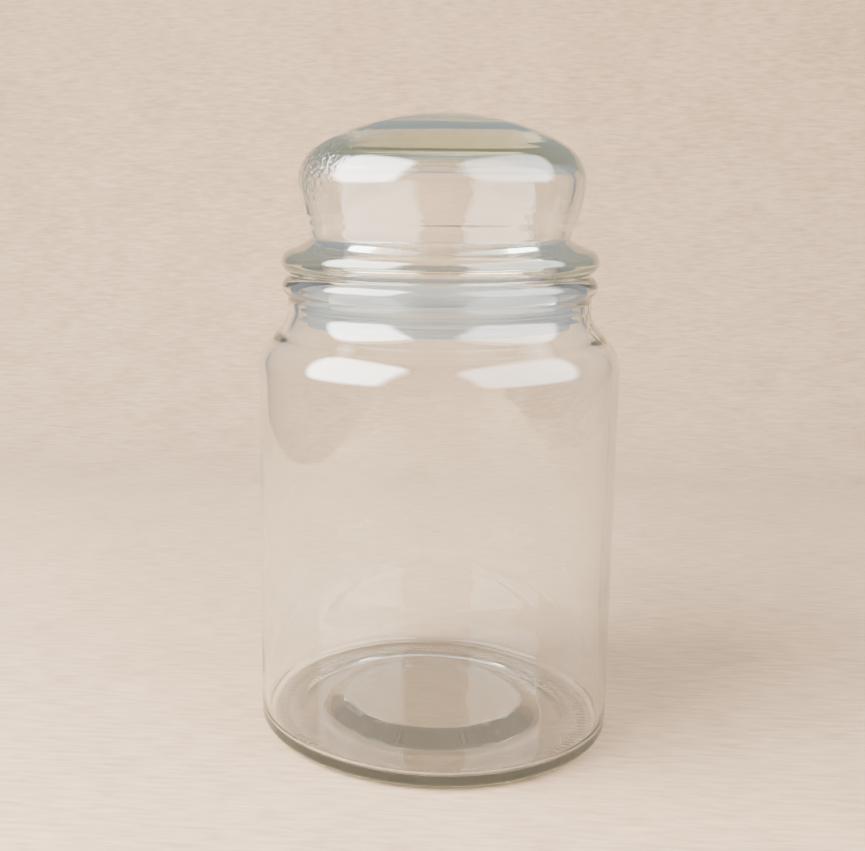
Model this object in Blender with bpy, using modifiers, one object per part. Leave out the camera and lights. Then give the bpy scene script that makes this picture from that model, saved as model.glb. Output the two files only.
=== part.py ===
"""Empty candle jar with a blown glass lid and a ribbed seal ring round the lid's plug.

Each piece is one turned solid: its cross-section is drawn as a line in the X-Z plane and a
Screw modifier turns that line once round Z. The line runs down the outer side of the piece,
and the jar's and the lid's both end on the axis, where the modifier joins them.

Lengths below are millimetres, and metres once they reach the mesh. The jar stands on z = 0
with its centre on the Z axis. Slopes and arcs are in degrees, measured from +X towards +Z.
"""
import math

import bpy
from mathutils import Vector

MM = 0.001
SEGMENTS = 60            # facets round each turned piece
GAP = 0.3                # between pieces that touch

# Jar body
BODY_R = 50.8
WALL = 2.2
HEEL_R = 3.0             # outer rounding between wall and base
LAND_IN_R = 42.0         # inner edge of the flat ring the jar stands on
PUSH_UP_R = 35.0         # hollow under the base
PUSH_UP_Z = 0.8
FLOOR_Z = 3.0            # trough round the inside floor
FLOOR_R = 33.0           # foot of the raised middle
SEAT_Z = 6.0             # raised flat middle, where a wick stands
SEAT_R = 24.0
COVE_R = 2.5             # inside rounding between floor and wall

# Jar shoulder, neck and rim
SHOULDER_Z = 104.8       # where the wall starts to turn in
SHOULDER_R = 11.3        # rounding of the shoulder
NECK_R = 42.4
NECK_Z = 121.5           # where the neck is straight again
NECK_FILLET = 8.0
NECK_WALL = 2.7
BEAD_R = 3.0             # rounding of the rim bead
BEAD_OUT_R = 44.1
BEAD_Z = 127.8
RIM_Z = 130.6            # flat top the lid rests on
RIM_IN_R = 40.3
RIM_EDGE = 0.7

# Lid, from the crown down
CROWN_Z = 175.3
CROWN_R = 70.0           # radius of the domed crown
BUBBLE_R = 39.9          # widest part of the lid
BUBBLE_Z = 156.0
BUBBLE_ROUND = 12.0
BUBBLE_TURN = 6.0        # lean of the wall where the bubble's rounding ends
WAIST_ROUND = 45.0       # long curve from there in to the waist
WAIST_SLOPE = 24.0       # lean of the wall at the waist
LID_WALL = 2.6
CEILING_Z = 162.8        # flat ceiling inside the thick crown
CEILING_ROUND = 6.5
HOLLOW_Z = 139.2         # top of the plug's straight bore
FLANGE_R = 44.3
FLANGE_Z = 134.6
FLANGE_ROUND = 3.4
FLANGE_SLOPE = 22.0      # fall of the flange's upper side
PLUG_R = 35.6
PLUG_WALL = 2.8
PLUG_END_Z = 116.6
PLUG_EDGE = 1.2

# Seal ring on the plug
SEAL_IN_R = PLUG_R + GAP
SEAL_OUT_R = 37.0
SEAL_TOP_Z = 129.4
SEAL_END_Z = 116.2
FIN_R = 39.2
FIN_Z = (127.6, 124.6, 121.6, 118.6)
FIN_ROOT = 0.7           # half the fin's thickness at the sleeve
FIN_TIP = 0.35           # half its thickness at the edge

for leftover in list(bpy.data.objects):
    bpy.data.objects.remove(leftover, do_unlink=True)


def arc(centre_r, centre_z, radius, start, end, points):
    """Points along a circular arc from one angle to another, both ends included."""
    steps = [math.radians(start + (end - start) * i / (points - 1)) for i in range(points)]
    return [(centre_r + radius * math.cos(a), centre_z + radius * math.sin(a)) for a in steps]


def material(name, colour, roughness, transmission, ior):
    """A Principled BSDF for a clear or milky material that isn't metal."""
    made = bpy.data.materials.new(name)
    made.use_nodes = True
    shader = made.node_tree.nodes["Principled BSDF"]
    shader.inputs["Base Color"].default_value = (*colour, 1.0)
    shader.inputs["Roughness"].default_value = roughness
    shader.inputs["Metallic"].default_value = 0.0
    shader.inputs["Transmission Weight"].default_value = transmission
    shader.inputs["IOR"].default_value = ior
    return made


def turned(name, outline, closed, surface):
    """One piece: the outline (radius, height) as a line of edges, turned once round Z."""
    edges = [(i, i + 1) for i in range(len(outline) - 1)]
    if closed:
        edges.append((len(outline) - 1, 0))
    mesh = bpy.data.meshes.new(name)
    mesh.from_pydata([Vector((r, 0.0, z)) * MM for r, z in outline], edges, [])
    piece = bpy.data.objects.new(name, mesh)
    candle_jar.objects.link(piece)
    mesh.materials.append(surface)
    screw = piece.modifiers.new("turn", "SCREW")
    screw.axis = "Z"
    screw.steps = screw.render_steps = SEGMENTS
    screw.use_merge_vertices = True
    screw.merge_threshold = 0.00001
    screw.use_smooth_shade = True
    return piece


def jar_outline():
    """Inside floor, inside wall, rim, outside wall and base, from the axis to the axis."""
    inner_r = BODY_R - WALL
    neck_centre = NECK_R + NECK_FILLET
    shoulder_centre = BODY_R - SHOULDER_R
    bead_centre = BEAD_OUT_R - BEAD_R
    inside = [(0.0, SEAT_Z), (SEAT_R, SEAT_Z), (FLOOR_R, FLOOR_Z)]
    inside += arc(inner_r - COVE_R, FLOOR_Z + COVE_R, COVE_R, -90, 0, 6)
    inside += arc(shoulder_centre, SHOULDER_Z, SHOULDER_R - WALL, 0, 45, 4)
    inside += arc(neck_centre, NECK_Z, NECK_FILLET + NECK_WALL, 225, 180, 4)
    inside += arc(RIM_IN_R, RIM_Z - RIM_EDGE, RIM_EDGE, 180, 90, 3)
    outside = arc(bead_centre, BEAD_Z, BEAD_R, 69, -60, 9)
    outside += arc(neck_centre, NECK_Z, NECK_FILLET, 180, 225, 4)
    outside += arc(shoulder_centre, SHOULDER_Z, SHOULDER_R, 45, 0, 6)
    outside += arc(BODY_R - HEEL_R, HEEL_R, HEEL_R, 0, -90, 6)
    base = [(LAND_IN_R, 0.0), (PUSH_UP_R, PUSH_UP_Z), (0.0, PUSH_UP_Z)]
    return inside + outside + base


def lead_in(end, radius):
    """The long curve down to the waist, smooth with the bubble where it starts."""
    turn = math.radians(-BUBBLE_TURN)
    centre = (end[0] - radius * math.cos(turn), end[1] - radius * math.sin(turn))
    return arc(centre[0], centre[1], radius, -BUBBLE_TURN, -WAIST_SLOPE, 5)[1:]


def lid_outline():
    """Crown, bubble, flange and plug, then back up the hollow inside to the axis."""
    round_centre = BUBBLE_R - BUBBLE_ROUND
    crown_centre = CROWN_Z - CROWN_R
    join = math.degrees(math.atan2(BUBBLE_Z - crown_centre, round_centre))
    crown = arc(0.0, crown_centre, CROWN_R, 90, join, 7)[:-1]
    bubble = arc(round_centre, BUBBLE_Z, BUBBLE_ROUND, join, -BUBBLE_TURN, 8)
    waist = lead_in(bubble[-1], WAIST_ROUND)
    flange_centre = FLANGE_R - FLANGE_ROUND
    flange = arc(flange_centre, FLANGE_Z, FLANGE_ROUND, 90 - FLANGE_SLOPE, -78, 8)
    fall = math.tan(math.radians(FLANGE_SLOPE))
    foot_r = waist[-1][0] + 1.2
    foot = (foot_r, flange[0][1] + (flange[0][0] - foot_r) * fall)
    plug_top = RIM_Z + GAP
    plug_mid = PLUG_R - PLUG_WALL / 2
    plug = [(PLUG_R + 0.6, plug_top), (PLUG_R, plug_top - 0.6)]
    plug += arc(PLUG_R - PLUG_EDGE, PLUG_END_Z + PLUG_EDGE, PLUG_EDGE, 0, -90, 4)
    plug += arc(PLUG_R - PLUG_WALL + PLUG_EDGE, PLUG_END_Z + PLUG_EDGE, PLUG_EDGE, -90, -180, 4)
    inner_r = BUBBLE_R - LID_WALL
    hollow_centre = inner_r - CEILING_ROUND
    hollow_z = CEILING_Z - CEILING_ROUND
    ceiling = arc(hollow_centre, hollow_z, CEILING_ROUND, -BUBBLE_TURN, 90, 7)
    bore = [(plug_mid - PLUG_WALL / 2, HOLLOW_Z)] + lead_in(ceiling[0], WAIST_ROUND - LID_WALL)[::-1]
    outside = crown + bubble + waist + [foot] + flange
    return outside + plug + bore + ceiling + [(0.0, CEILING_Z)]


def seal_outline():
    """A thin sleeve with four fins, as one closed loop: down the outside, up the bore."""
    loop = [(SEAL_OUT_R - 0.3, SEAL_TOP_Z)]
    for z in FIN_Z:
        loop += [(SEAL_OUT_R, z + FIN_ROOT), (FIN_R, z + FIN_TIP)]
        loop += [(FIN_R, z - FIN_TIP), (SEAL_OUT_R, z - FIN_ROOT)]
    return loop + [(SEAL_OUT_R - 0.3, SEAL_END_Z), (SEAL_IN_R, SEAL_END_Z), (SEAL_IN_R, SEAL_TOP_Z)]


candle_jar = bpy.data.collections.new("candle_jar")
bpy.context.scene.collection.children.link(candle_jar)

clear_glass = material("clear_soda_lime_glass", (0.93, 0.96, 0.94), 0.02, 1.0, 1.52)
lid_clear_glass = material("lid_clear_glass", (0.92, 0.96, 0.93), 0.02, 1.0, 1.52)
milky_seal = material("milky_soft_polyethylene", (0.80, 0.85, 0.88), 0.35, 0.6, 1.51)

turned("jar_body", jar_outline(), False, clear_glass)
turned("lid_glass", lid_outline(), False, lid_clear_glass)
turned("lid_seal", seal_outline(), True, milky_seal)
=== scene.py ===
"""An empty candle jar: clear pressed glass, a hollow blown glass lid and a milky seal ring.

Read it from top to bottom, as a notebook: each step has a note, then short cells of code.
Lengths are millimetres in the functions and metres once they reach a mesh.
"""
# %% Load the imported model, which fixes every size and joint
import math

import bpy
import numpy as np
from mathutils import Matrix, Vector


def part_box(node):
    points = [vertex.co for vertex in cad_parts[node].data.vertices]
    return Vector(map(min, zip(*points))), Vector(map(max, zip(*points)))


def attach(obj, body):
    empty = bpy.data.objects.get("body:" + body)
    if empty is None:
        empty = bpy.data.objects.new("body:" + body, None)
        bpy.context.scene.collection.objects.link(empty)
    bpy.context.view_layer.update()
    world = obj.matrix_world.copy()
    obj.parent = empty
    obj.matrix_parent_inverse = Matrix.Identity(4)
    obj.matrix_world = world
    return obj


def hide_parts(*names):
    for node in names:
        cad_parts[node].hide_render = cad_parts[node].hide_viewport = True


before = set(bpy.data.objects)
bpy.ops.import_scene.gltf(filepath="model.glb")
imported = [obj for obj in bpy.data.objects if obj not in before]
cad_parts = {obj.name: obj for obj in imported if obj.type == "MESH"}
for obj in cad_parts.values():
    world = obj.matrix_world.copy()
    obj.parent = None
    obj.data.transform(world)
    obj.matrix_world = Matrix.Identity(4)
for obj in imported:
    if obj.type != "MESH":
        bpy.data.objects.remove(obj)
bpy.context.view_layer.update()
MM = 0.001

# %% [markdown]
# The camera stands close to the jar, a little lower than the top of the lid, and looks down.
# That is why the lid is seen level while the base opens into a wide oval. It could be aimed at
# the jar with a constraint, but a known angle and a small sideways shift say exactly how it
# stands, and the shift moves the jar in the frame without tilting its upright lines.

# %% Camera
camera = bpy.data.objects.new("camera", bpy.data.cameras.new("camera"))
bpy.context.scene.collection.objects.link(camera)
camera.location = (0.0, -0.3420, 0.1534)
camera.rotation_euler = (math.radians(90.0 - 10.20), 0.0, math.radians(5.31))
camera.data.lens = 50.0
camera.data.sensor_width = 36.0
camera.data.shift_x = 0.1227
camera.data.shift_y = -0.0191
camera.data.clip_start = 0.01
bpy.context.scene.camera = camera
print("camera", [round(v, 4) for v in camera.location], "lens", camera.data.lens, "mm")

# %% [markdown]
# Every piece of the jar is turned, so one profile line and one function make each of them. A
# Screw modifier would do for a perfect shape. Blown and pressed glass isn't perfect, and its
# small waves are what make it look like glass, so the surface is worked out on a grid instead:
# one direction runs along the profile and the other round the axis, and a wave can depend on
# both.


# %% Profile tools
def arc(centre, radius, start, end, spacing=0.5):
    """Points round a circle: centre plus radius times (cosine, sine) of an angle in degrees."""
    count = max(3, int(abs(math.radians(end - start)) * radius / spacing) + 2)
    angle = np.radians(np.linspace(start, end, count))
    return np.stack([centre[0] + radius * np.cos(angle), centre[1] + radius * np.sin(angle)], 1)


def ease(start, end, spacing=0.5):
    """A soft step between two points: the height follows half a cosine wave of the radius."""
    (r0, z0), (r1, z1) = start, end
    t = np.linspace(0.0, 1.0, max(5, int(math.hypot(r1 - r0, z1 - z0) / spacing) + 2))
    return np.stack([r0 + (r1 - r0) * t, z0 + (z1 - z0) * (1.0 - np.cos(math.pi * t)) / 2], 1)


def bend(start, corner, end, count=14):
    """A soft corner: (1 - t)^2 start + 2 t (1 - t) corner + t^2 end, for t from 0 to 1."""
    t = np.linspace(0.0, 1.0, count)[:, None]
    return (1 - t) ** 2 * np.array(start) + 2 * t * (1 - t) * np.array(corner) + t**2 * np.array(end)


def join(parts, spacing=2.5):
    """One profile through all the parts: long straight runs between them are divided evenly."""
    line = np.concatenate([np.atleast_2d(part) for part in parts])
    step = np.hypot(*np.diff(line, axis=0).T)
    line = line[np.concatenate([[True], step > 0.02])]
    step = np.hypot(*np.diff(line, axis=0).T)
    cuts = np.maximum(1, np.ceil(step / spacing).astype(int))
    start = np.repeat(np.arange(len(cuts)), cuts)
    share = np.concatenate([np.arange(n) / n for n in cuts])[:, None]
    return np.concatenate([line[start] * (1 - share) + line[start + 1] * share, line[-1:]])


def normals(line, closed=False):
    """The outward direction at each profile point: the run of the line turned a quarter."""
    if closed:
        run = np.roll(line, -1, 0) - np.roll(line, 1, 0)
    else:
        run = np.gradient(line, axis=0)
    side = np.stack([-run[:, 1], run[:, 0]], 1)
    return side / np.maximum(np.hypot(*side.T), 1e-9)[:, None]


print("an arc of 90 degrees and 5 mm:", len(arc((0, 0), 5, 0, 90)), "points")


# %% A turned surface with waves in it
def turn(name, line, rounds, wave=None, closed=False):
    """Surface of revolution: point (s, a) = (r cos a, r sin a, z), where (r, z) is the profile
    at s moved by wave(s, a) millimetres along the profile's normal. The profile's two ends are
    poles on the axis, or its last point joins the first where it is closed."""
    angle = np.linspace(0.0, 2 * math.pi, rounds, endpoint=False)
    height = np.zeros((len(line), rounds))
    if wave is not None:
        height = wave(line, angle)
    side = normals(line, closed)
    radius = line[:, :1] + height * side[:, :1]
    level = line[:, 1:] + height * side[:, 1:]
    grid = np.stack([radius * np.cos(angle), radius * np.sin(angle), level + 0 * angle], 2)
    rows = np.arange(len(line))
    here, there = rows[:, None] * rounds, np.roll(rows, -1)[:, None] * rounds
    column = np.arange(rounds)
    beside = np.roll(column, -1)
    quads = np.stack([here + column, there + column, there + beside, here + beside], 2)
    if closed:
        points, faces = grid.reshape(-1, 3), quads.reshape(-1, 4).tolist()
    else:
        points = np.concatenate([grid[1:-1].reshape(-1, 3), grid[:1, 0], grid[-1:, 0]])
        faces = (quads[1:-2].reshape(-1, 4) - rounds).tolist()
        first, last = len(points) - 2, len(points) - 1
        edge = last - 1 - rounds
        top = np.stack([np.full(rounds, first), column, beside], 1)
        end = np.stack([np.full(rounds, last), edge + beside, edge + column], 1)
        faces += top.tolist() + end.tolist()
    mesh = bpy.data.meshes.new(name)
    mesh.from_pydata(points * MM, [], faces)
    mesh.shade_smooth()
    piece = bpy.data.objects.new(name, mesh)
    bpy.context.scene.collection.objects.link(piece)
    print(name, len(points), "points", len(faces), "faces")
    return piece


# %% [markdown]
# The jar is machine made: a gather of glass is pressed, then blown into a cooled iron mould.
# The outside copies the mould. The inside is free, so the wall's thickness drifts a little
# round the jar, and that bends what is seen through it. The base is thick, pushed up in the
# middle, and stands on a flat ring that carries a band of short ribs. One side of the neck has
# chill wrinkles, left where the hot glass met a cold part of the mould.

# %% The jar's profile
BODY_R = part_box("jar_body")[1].x / MM
RIM_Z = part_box("jar_body")[1].z / MM
WALL = 2.2
HEEL_R = 3.0
LAND_R = 42.0
PUSH_UP = (35.0, 0.8)
FLOOR = (33.0, 3.0)
SEAT = (24.0, 6.0)
COVE_R = 2.5
SHOULDER = (11.3, 104.8)
NECK_R, NECK_Z, NECK_WALL, NECK_FILLET = 42.4, 121.5, 2.7, 8.0
BEAD_R, BEAD_OUT_R, BEAD_Z = 3.0, 44.1, 127.8
RIM_IN_R, RIM_EDGE = 40.3, 0.7

neck_middle = (NECK_R + NECK_FILLET, NECK_Z)
shoulder_middle = (BODY_R - SHOULDER[0], SHOULDER[1])
jar_line = join([
    (0.0, SEAT[1]),
    ease(SEAT, FLOOR),
    arc((BODY_R - WALL - COVE_R, FLOOR[1] + COVE_R), COVE_R, -90, 0),
    arc(shoulder_middle, SHOULDER[0] - WALL, 0, 45),
    arc(neck_middle, NECK_FILLET + NECK_WALL, 225, 180),
    arc((RIM_IN_R, RIM_Z - RIM_EDGE), RIM_EDGE, 180, 90, 0.2),
    arc((BEAD_OUT_R - BEAD_R, BEAD_Z), BEAD_R, 69, -60, 0.3),
    arc(neck_middle, NECK_FILLET, 180, 225),
    arc(shoulder_middle, SHOULDER[0], 45, 0),
    arc((BODY_R - HEEL_R, HEEL_R), HEEL_R, 0, -90, 0.3),
    ease((LAND_R, 0.0), PUSH_UP),
    (0.0, PUSH_UP[1]),
])
print("jar profile:", len(jar_line), "points, body radius", round(BODY_R, 1), "mm")


# %% Chill wrinkles
def wrinkle(x, y, z):
    """Ridges 2 mm apart: a sine wave along x times a cosine wave along z, each of them shifted
    by a wave along the other."""
    ridge = np.sin(2.9 * x + 1.5 * np.sin(2.3 * z + y))
    return ridge * np.cos(2.6 * z - 1.8 * y + 1.4 * np.sin(2.1 * x))


print("a wrinkle 0.5 mm from the origin rises", round(float(wrinkle(0.5, 0.0, 0.0)), 2))


# %% The jar's waves
NECK_CHILL = (41.5, -8.0, 120.0)     # middle of the wrinkles on the neck


def jar_wave(line, angle):
    """Inner wall moved by slow waves round and along the jar, faded out near floor and rim, a
    floor that is a little uneven where the glass settled, and wrinkles on one side of the neck."""
    radius, height = line[:, :1], line[:, 1:]
    inside = (np.arange(len(line)) < np.argmax(line[:, 1]))[:, None]
    reach = np.clip((height - 16.0) / 25.0, 0, 1) * np.clip((112.0 - height) / 20.0, 0, 1)
    slow = 0.30 * np.cos(angle - 0.4) + 0.12 * np.cos(3 * angle + height / 40.0)
    fine = 0.03 * np.sin(5 * angle + height / 9.0) * np.cos(2 * angle - height / 23.0)
    x, y = radius * np.cos(angle), radius * np.sin(angle)
    floor = (height < 8.0) * np.clip((34.0 - radius) / 6.0, 0, 1) * np.clip(radius / 3.0, 0, 1)
    settled = 0.10 * np.sin(x / 5.2 + 0.7) * np.cos(y / 7.5) + 0.05 * np.sin((x - 2 * y) / 6.3)
    at = NECK_CHILL
    away = np.sqrt((x - at[0]) ** 2 + (y - at[1]) ** 2 + (height - at[2]) ** 2)
    chill = ~inside * np.clip((9.0 - away) / 5.0, 0, 1) * wrinkle(x, y, height)
    return inside * (reach * (slow + fine) + floor * settled) + 0.14 * chill


jar = turn("jar_body_glass", jar_line, 320, jar_wave)
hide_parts("jar_body")
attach(jar, "jar")

# %% [markdown]
# The lid is one hollow piece too. Most of its glass is in the crown, which makes a lens under
# the dome, and its open plug goes down into the neck. The flange is a rounded collar that
# rests on the jar's rim. Where the crown's cap ends, the mould leaves a shallow groove, and one
# shoulder has the same wrinkles as the jar's neck.

# %% The lid's profile
CROWN_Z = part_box("lid_glass")[1].z / MM
PLUG_END_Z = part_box("lid_glass")[0].z / MM
FLANGE_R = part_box("lid_glass")[1].x / MM
CROWN_R = 70.0
BUBBLE_R, BUBBLE_Z, BUBBLE_ROUND = 39.9, 156.0, 12.0
BUBBLE_TURN, WAIST_ROUND, WAIST_SLOPE, LID_WALL = 6.0, 45.0, 24.0, 2.6
CEILING_Z, CEILING_ROUND, HOLLOW_Z = 162.8, 6.5, 139.2
FLANGE_Z, FLANGE_ROUND, FLANGE_SLOPE = 134.6, 3.4, 22.0
PLUG_R, PLUG_WALL, PLUG_EDGE, PLUG_FILLET, GAP = 35.6, 2.8, 1.2, 0.6, 0.3


def lead_in(end, radius, slope):
    """The long arc from the bubble down to a given lean, smooth with the bubble at its start."""
    lean = math.radians(-BUBBLE_TURN)
    middle = (end[0] - radius * math.cos(lean), end[1] - radius * math.sin(lean))
    return arc(middle, radius, -BUBBLE_TURN, -slope)


round_middle = (BUBBLE_R - BUBBLE_ROUND, BUBBLE_Z)
crown_middle = (0.0, CROWN_Z - CROWN_R)
crown_end = math.degrees(math.atan2(BUBBLE_Z - crown_middle[1], round_middle[0]))
bubble = arc(round_middle, BUBBLE_ROUND, crown_end, -BUBBLE_TURN)
waist = lead_in(bubble[-1], WAIST_ROUND, WAIST_SLOPE)
flange = arc((FLANGE_R - FLANGE_ROUND, FLANGE_Z), FLANGE_ROUND, 90 - FLANGE_SLOPE, -78, 0.3)
foot = (waist[-1][0] - 0.4, waist[-1][1] - 0.8)
ceiling = arc((BUBBLE_R - LID_WALL - CEILING_ROUND, CEILING_Z - CEILING_ROUND), CEILING_ROUND,
              -BUBBLE_TURN, 90, 0.3)
bore_r = PLUG_R - PLUG_WALL
hollow = lead_in(ceiling[0], WAIST_ROUND - LID_WALL, WAIST_SLOPE - 4.0)[:0:-1]
lid_line = join([
    arc(crown_middle, CROWN_R, 90, crown_end, 1.0)[:-1],
    bubble,
    waist[1:],
    bend(waist[-1], foot, flange[0]),
    flange,
    arc((PLUG_R + PLUG_FILLET, RIM_Z + GAP - PLUG_FILLET), PLUG_FILLET, 90, 180, 0.2),
    arc((PLUG_R - PLUG_EDGE, PLUG_END_Z + PLUG_EDGE), PLUG_EDGE, 0, -90, 0.3),
    arc((bore_r + PLUG_EDGE, PLUG_END_Z + PLUG_EDGE), PLUG_EDGE, -90, -180, 0.3),
    bend((bore_r, HOLLOW_Z - 5.2), (bore_r, HOLLOW_Z + 0.5), hollow[0]),
    hollow,
    ceiling,
    (0.0, CEILING_Z),
], 1.5)
print("lid profile:", len(lid_line), "points")


# %% The lid's groove and waves
GROOVE_R, GROOVE_DEPTH = 27.5, 0.32
SHOULDER_CHILL = (-31.0, -18.0, 164.5)   # middle of the wrinkles on the shoulder


def lid_wave(line, angle):
    """Groove: a bell curve of the radius. Hollow: slow waves round it, with settling rings low.
    Wrinkles: on one shoulder only, faded out with the distance from its middle."""
    radius, height = line[:, :1], line[:, 1:]
    row = np.arange(len(line))
    lowest = np.argmin(line[:, 1])
    outside, inside = (row < lowest)[:, None], (row > lowest)[:, None]
    crown = outside * (height > 160.0)
    x, y = radius * np.cos(angle), radius * np.sin(angle)
    at = SHOULDER_CHILL
    away = np.sqrt((x - at[0]) ** 2 + (y - at[1]) ** 2 + (1.5 * (height - at[2])) ** 2)
    patch = outside * np.clip((12.0 - away) / 4.0, 0, 1)
    bell = np.exp(-(((radius - GROOVE_R) / 1.3) ** 2))
    groove = -GROOVE_DEPTH * bell * (0.6 - 0.4 * np.cos(angle))
    hollow = inside * np.clip((height - 136.0) / 8.0, 0, 1) * np.clip(radius / 12.0, 0, 1)
    slow = 0.28 * np.cos(angle + 0.5) + 0.16 * np.sin(2 * angle + height / 6.0)
    rings = 0.05 * np.sin(height * 2.2 + 2.0 * np.sin(angle)) * np.clip((150.0 - height) / 6.0, 0, 1)
    return crown * groove + hollow * (slow + rings) + 0.17 * patch * wrinkle(x, y, height)


lid = turn("lid_blown_glass", lid_line, 360, lid_wave)
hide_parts("lid_glass")
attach(lid, "lid")

# %% [markdown]
# The seal is a moulded ring of soft polyethylene: a thin sleeve round the lid's plug with four
# fins that bend against the neck. Its profile is a closed loop, so the same function turns it
# with no poles, and a slow wave keeps the fins from looking machined.

# %% The seal
SEAL_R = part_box("lid_seal")[1].x / MM
SEAL_LOW, SEAL_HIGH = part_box("lid_seal")[0].z / MM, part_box("lid_seal")[1].z / MM
SLEEVE_IN_R, SLEEVE_R = PLUG_R + GAP, 37.0
FIN_Z = (127.6, 124.6, 121.6, 118.6)
FIN_ROOT, FIN_TIP = 0.7, 0.35

outside = [(SLEEVE_R - 0.3, SEAL_HIGH)]
for z in FIN_Z:
    outside += [(SLEEVE_R, z + FIN_ROOT), arc((SEAL_R - FIN_TIP, z), FIN_TIP, 90, -90, 0.15),
                (SLEEVE_R, z - FIN_ROOT)]
bore = [(SLEEVE_R - 0.3, SEAL_LOW), (SLEEVE_IN_R, SEAL_LOW), (SLEEVE_IN_R, SEAL_HIGH)]
seal_line = join(outside + bore, 0.8)


def seal_wave(line, angle):
    """The fins' edges wander a little up and down: a slow wave that grows with the radius."""
    reach = np.clip((line[:, :1] - SLEEVE_R) / (SEAL_R - SLEEVE_R), 0, 1)
    return -0.10 * reach * (1.0 + np.sin(7 * angle + line[:, 1:]))


seal = turn("seal_ring", seal_line, 288, seal_wave, closed=True)
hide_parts("lid_seal")
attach(seal, "seal")


# %% [markdown]
# Every material is built the same way: an empty node tree, a Principled shader, and a bump
# where the surface has marks too fine for the mesh. A few small helpers keep the code short.
# One turns colours to linear light, and one adds a node with its settings and links.


# %% Colours and nodes
def colour(text):
    """An sRGB hex value turned to linear light: below 0.04045 it is divided by 12.92, and
    above it is ((value + 0.055) / 1.055) to the power 2.4."""
    value = np.array([int(text[i:i + 2], 16) / 255 for i in (1, 3, 5)])
    linear = np.where(value <= 0.04045, value / 12.92, ((value + 0.055) / 1.055) ** 2.4)
    return (*linear.tolist(), 1.0)


def node(tree, kind, links=None, **settings):
    """Adds a node. A setting names an input or a property; a link names an input and a socket."""
    made = tree.nodes.new(kind)
    for name, value in settings.items():
        socket = made.inputs.get(name.replace("_", " "))
        if socket is not None:
            socket.default_value = value
        else:
            setattr(made, name, value)
    for name, source in (links or {}).items():
        tree.links.new(source, made.inputs[name])
    return made


def maths(tree, operation, *values):
    """A Math node: each value is a number or a socket, and its result is returned."""
    made = tree.nodes.new("ShaderNodeMath")
    made.operation = operation
    for place, value in zip(made.inputs, values):
        if isinstance(value, (int, float)):
            place.default_value = value
        else:
            tree.links.new(value, place)
    return made.outputs[0]


def window(tree, value, low, high, soft):
    """1 between low and high and 0 outside, with an edge that is soft wide."""
    rise = node(tree, "ShaderNodeMapRange", {"Value": value}, From_Min=low - soft, From_Max=low)
    fall = node(tree, "ShaderNodeMapRange", {"Value": value}, From_Min=high, From_Max=high + soft,
                To_Min=1.0, To_Max=0.0)
    return maths(tree, "MULTIPLY", rise.outputs[0], fall.outputs[0])


def material(name):
    """A new material with an empty tree, and the position on the piece in metres."""
    made = bpy.data.materials.new(name)
    made.use_nodes = True
    tree = made.node_tree
    tree.nodes.clear()
    place = node(tree, "ShaderNodeTexCoord").outputs["Object"]
    return made, tree, place


print("pale beige in linear light:", [round(v, 3) for v in colour("#D8CBC1")])

# %% [markdown]
# Glass bends light where it enters and leaves, and takes a little colour from it on the way
# through. That is why the wall looks clear and a thick crown or heel looks olive green: the
# light has gone through more of it. An even tint on the surface couldn't show this, so the
# colour is put in the volume.
#
# Light can also run round inside a thick collar or crown, reflected again and again. Cycles
# follows four such reflections and then drops the light, which would leave black patches. The
# Light Path node tells the shader how many there have been, so at the last one the surface
# glows as faintly as that light would.


# %% Glass
LAST_TURN = 4            # inner reflections that Cycles follows
JAR_GLOW, LID_GLOW = 0.10, 0.36
RIBS = 138               # round the ring that the jar stands on


def glass(name, marks, faint):
    """Clear soda-lime glass: index 1.52, polished by fire, olive green through 50 mm or more.
    faint is the glow that stands for dropped light, and marks adds to the surface's height,
    which is in millimetres. The ripple under them is 14 mm from crest to crest."""
    made, tree, place = material(name)
    ripple = node(tree, "ShaderNodeTexNoise", {"Vector": place}, Scale=70.0, Detail=1.0)
    height = maths(tree, "MULTIPLY", ripple.outputs[0], 0.03)
    height = marks(tree, place, height)
    bump = node(tree, "ShaderNodeBump", {"Height": height}, Distance=MM, Strength=1.0)
    turns = node(tree, "ShaderNodeLightPath").outputs["Glossy Depth"]
    dropped = maths(tree, "GREATER_THAN", turns, LAST_TURN - 0.5)
    shader = node(tree, "ShaderNodeBsdfPrincipled",
                  {"Normal": bump.outputs[0],
                   "Emission Strength": maths(tree, "MULTIPLY", dropped, faint)},
                  Base_Color=colour("#FFFFFF"), Roughness=0.0, IOR=1.52, Transmission_Weight=1.0,
                  Emission_Color=colour("#E8E0D4"))
    made.cycles.emission_sampling = "NONE"
    depth = node(tree, "ShaderNodeVolumeAbsorption", Color=colour("#AEBF85"), Density=14.0)
    node(tree, "ShaderNodeOutputMaterial",
         {"Surface": shader.outputs[0], "Volume": depth.outputs[0]})
    return made


def jar_marks(tree, place, height):
    """Two mould seams, where the halves of the mould met, and the ribs under the base."""
    x, y, z = node(tree, "ShaderNodeSeparateXYZ", {"Vector": place}).outputs
    angle = maths(tree, "ARCTAN2", y, x)
    ribs = maths(tree, "SINE", maths(tree, "MULTIPLY", angle, float(RIBS)))
    radius = maths(tree, "SQRT", maths(tree, "ADD", maths(tree, "MULTIPLY", x, x),
                                       maths(tree, "MULTIPLY", y, y)))
    seam = maths(tree, "MULTIPLY", window(tree, y, -0.15 * MM, 0.15 * MM, 0.25 * MM),
                 window(tree, radius, 49.5 * MM, 60.0 * MM, 0.5 * MM))
    height = maths(tree, "MULTIPLY_ADD", seam, 0.05, height)
    ring = maths(tree, "MULTIPLY", window(tree, radius, 43.2 * MM, 45.2 * MM, 0.5 * MM),
                 window(tree, z, -1.0 * MM, 0.2 * MM, 0.2 * MM))
    return maths(tree, "MULTIPLY_ADD", maths(tree, "MULTIPLY", ribs, ring), 0.07, height)


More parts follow.
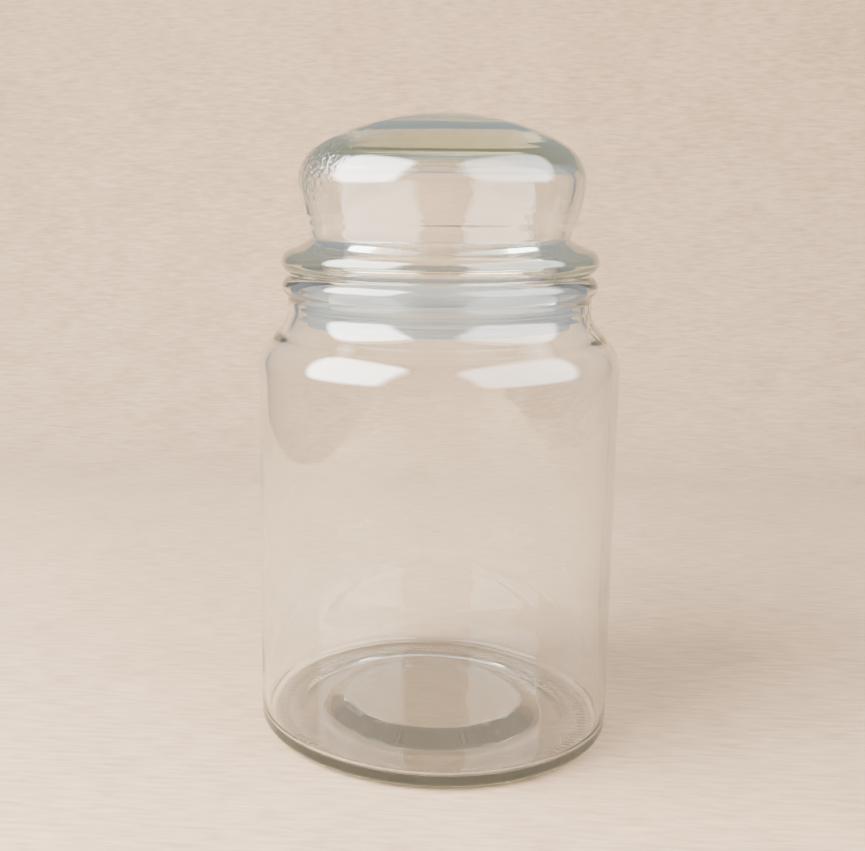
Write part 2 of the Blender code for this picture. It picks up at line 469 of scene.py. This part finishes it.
def lid_marks(tree, place, height):
    """Fine chill wrinkles, 2 mm apart, among the larger ones that are in the mesh."""
    crinkle = node(tree, "ShaderNodeTexNoise", {"Vector": place}, Scale=520.0, Detail=2.0,
                   Roughness=0.55, Distortion=0.6)
    away = node(tree, "ShaderNodeVectorMath", {"Vector": place}, operation="DISTANCE")
    away.inputs[1].default_value = [value * MM for value in SHOULDER_CHILL]
    patch = node(tree, "ShaderNodeMapRange", {"Value": away.outputs["Value"]},
                 From_Min=7.0 * MM, From_Max=15.0 * MM, To_Min=1.0, To_Max=0.0)
    wrinkles = maths(tree, "MULTIPLY", crinkle.outputs[0], patch.outputs[0])
    return maths(tree, "MULTIPLY_ADD", wrinkles, 0.5, height)


jar.data.materials.append(glass("pressed_soda_lime_glass", jar_marks, JAR_GLOW))
lid.data.materials.append(glass("blown_soda_lime_glass", lid_marks, LID_GLOW))
print("glass:", jar.data.materials[0].name, "and", lid.data.materials[0].name)

# %% [markdown]
# Soft polyethylene lets light through but scatters it, so the seal looks like a band of mist
# behind the neck. Fog in its volume would do this, but slowly, so the surface is made rough and
# part of the light is scattered there. The streaks run round it, as the plastic flowed in the
# mould.

# %% The seal's plastic
# Streaks are about 1 mm deep and 17 mm long.
milky, tree, place = material("moulded_soft_polyethylene")
streaks = node(tree, "ShaderNodeMapping", {"Vector": place}, Scale=(60.0, 60.0, 900.0))
grain = node(tree, "ShaderNodeTexNoise", {"Vector": streaks.outputs[0]}, Scale=1.0, Detail=2.0)
haze = node(tree, "ShaderNodeMapRange", {"Value": grain.outputs[0]}, From_Min=0.3, From_Max=0.7,
            To_Min=0.28, To_Max=0.46)
bump = node(tree, "ShaderNodeBump", {"Height": grain.outputs[0]}, Distance=0.05 * MM)
shader = node(tree, "ShaderNodeBsdfPrincipled",
              {"Roughness": haze.outputs[0], "Normal": bump.outputs[0]},
              Base_Color=colour("#F1F8FC"), IOR=1.51, Transmission_Weight=0.84)
node(tree, "ShaderNodeOutputMaterial", {"Surface": shader.outputs[0]})
seal.data.materials.append(milky)
print("seal:", milky.name)

# %% [markdown]
# The jar stands on a length of pale cloth that curves up behind it, so there is no line between
# floor and backdrop. Clear glass shows what is round it, and a plain white floor would leave
# nothing to see: the faint slubs of the weave give the wall something to bend. Real slubs are
# under 1 mm thick. These are 1.6 mm thick and 11 mm long, so that they show.

# %% Cloth
curve = np.radians(np.linspace(0, 90, 24))
sweep_y = np.concatenate([[-1.0], 0.30 + 0.25 * np.sin(curve), [0.55]])
sweep_z = np.concatenate([[0.0], 0.25 - 0.25 * np.cos(curve), [0.34]])
sides = np.array([-0.40, 0.46])
shape = (len(sweep_y), 2)
points = np.stack([np.broadcast_to(sides, shape), np.broadcast_to(sweep_y[:, None], shape),
                   np.broadcast_to(sweep_z[:, None], shape)], 2).reshape(-1, 3)
first = 2 * np.arange(len(sweep_y) - 1)[:, None]
mesh = bpy.data.meshes.new("cloth_sweep")
mesh.from_pydata(points, [], (first + np.array([0, 1, 3, 2])).tolist())
mesh.shade_smooth()
sweep = bpy.data.objects.new("cloth_sweep", mesh)
sweep.location.z = -0.4 * MM
bpy.context.scene.collection.objects.link(sweep)

cloth, tree, place = material("slubbed_cotton_cloth")
slub = node(tree, "ShaderNodeMapping", {"Vector": place}, Scale=(90.0, 620.0, 620.0))
threads = node(tree, "ShaderNodeTexNoise", {"Vector": slub.outputs[0]}, Scale=1.0, Detail=3.0,
               Roughness=0.6)
patches = node(tree, "ShaderNodeTexNoise", {"Vector": place}, Scale=28.0, Detail=2.0)
blend = maths(tree, "MULTIPLY_ADD", patches.outputs[0], 0.22,
              maths(tree, "MULTIPLY", threads.outputs[0], 0.9))
tone = node(tree, "ShaderNodeMapRange", {"Value": blend}, From_Min=0.34, From_Max=0.78)
dye = node(tree, "ShaderNodeMix", {"Factor": tone.outputs[0]}, data_type="RGBA")
dye.inputs["A"].default_value = colour("#6F5C47")
dye.inputs["B"].default_value = colour("#8D775E")
weave = node(tree, "ShaderNodeBump", {"Height": threads.outputs[0]}, Distance=0.15 * MM)
shader = node(tree, "ShaderNodeBsdfPrincipled",
              {"Base Color": dye.outputs["Result"], "Normal": weave.outputs[0]}, Roughness=0.95)
node(tree, "ShaderNodeOutputMaterial", {"Surface": shader.outputs[0]})
sweep.data.materials.append(cloth)
print("cloth sweep:", len(points), "points")

# %% [markdown]
# Two large softboxes stand in front of the jar, one on each side. A softbox is a panel of white
# cloth lit from behind, bright in the middle and weaker at its edge, and glass shows it as a
# bright patch. An area lamp would make patches with hard edges, so each one is a panel that
# glows on one side only.


# %% Lights
def softbox(name, azimuth, elevation, distance, width, height, brightness):
    """A panel aimed at the jar's middle. Its glow fades with (u^6 + v^6)^(1/6), where u and v run
    from -1 to 1 across it."""
    u = np.array([-1.0, 1.0, 1.0, -1.0])
    v = np.array([-1.0, -1.0, 1.0, 1.0])
    mesh = bpy.data.meshes.new(name)
    mesh.from_pydata(np.stack([u * width / 2, v * height / 2, 0 * u], 1), [], [(3, 2, 1, 0)])
    panel = bpy.data.objects.new(name, mesh)
    a, e = math.radians(azimuth), math.radians(elevation)
    way = np.array([math.sin(a) * math.cos(e), -math.cos(a) * math.cos(e), math.sin(e)])
    panel.location = way * distance + np.array([0.0, 0.0, 0.12])
    panel.rotation_euler = (math.radians(90.0 - elevation), 0.0, a)
    bpy.context.scene.collection.objects.link(panel)
    panel.visible_camera = False
    made, tree, place = material(name + "_diffuser")
    x, y, z = node(tree, "ShaderNodeSeparateXYZ", {"Vector": place}).outputs
    reach = [maths(tree, "POWER", maths(tree, "ABSOLUTE", maths(tree, "MULTIPLY", axis, 2.0 / size)),
                   6.0) for axis, size in ((x, width), (y, height))]
    edge = maths(tree, "POWER", maths(tree, "ADD", *reach), 1.0 / 6.0)
    fade = node(tree, "ShaderNodeMapRange", {"Value": edge}, interpolation_type="SMOOTHSTEP",
                From_Min=0.70, From_Max=1.0, To_Min=brightness, To_Max=0.0)
    back = node(tree, "ShaderNodeNewGeometry").outputs["Backfacing"]
    front = maths(tree, "SUBTRACT", 1.0, back)
    glow = node(tree, "ShaderNodeEmission",
                {"Strength": maths(tree, "MULTIPLY", fade.outputs[0], front)},
                Color=colour("#FFFDFA"))
    node(tree, "ShaderNodeOutputMaterial", {"Surface": glow.outputs[0]})
    mesh.materials.append(made)
    return panel


softbox("left_softbox", -60.0, 30.0, 0.60, 0.72, 0.68, 62.0)
softbox("right_softbox", 61.0, 30.0, 0.60, 0.98, 0.68, 18.0)

# %% [markdown]
# The rest of the room is dim and gives the glass its dark outlines. A single grey would make
# every edge the same, so it is darker near the floor and lighter overhead, towards the back.

# %% Room
world = bpy.data.worlds.new("dim_room")
world.use_nodes = True
tree = world.node_tree
way = node(tree, "ShaderNodeTexCoord").outputs["Generated"]
x, y, z = node(tree, "ShaderNodeSeparateXYZ", {"Vector": way}).outputs
lift = maths(tree, "MULTIPLY_ADD", z, 0.60, maths(tree, "MULTIPLY_ADD", y, 0.30, 0.20))
room = node(tree, "ShaderNodeMix", {"Factor": lift}, data_type="RGBA")
room.inputs["A"].default_value = colour("#55524E")
room.inputs["B"].default_value = colour("#E8F0FC")
tree.links.new(room.outputs["Result"], tree.nodes["Background"].inputs["Color"])
tree.nodes["Background"].inputs["Strength"].default_value = 0.90
bpy.context.scene.world = world
print("room:", world.name)
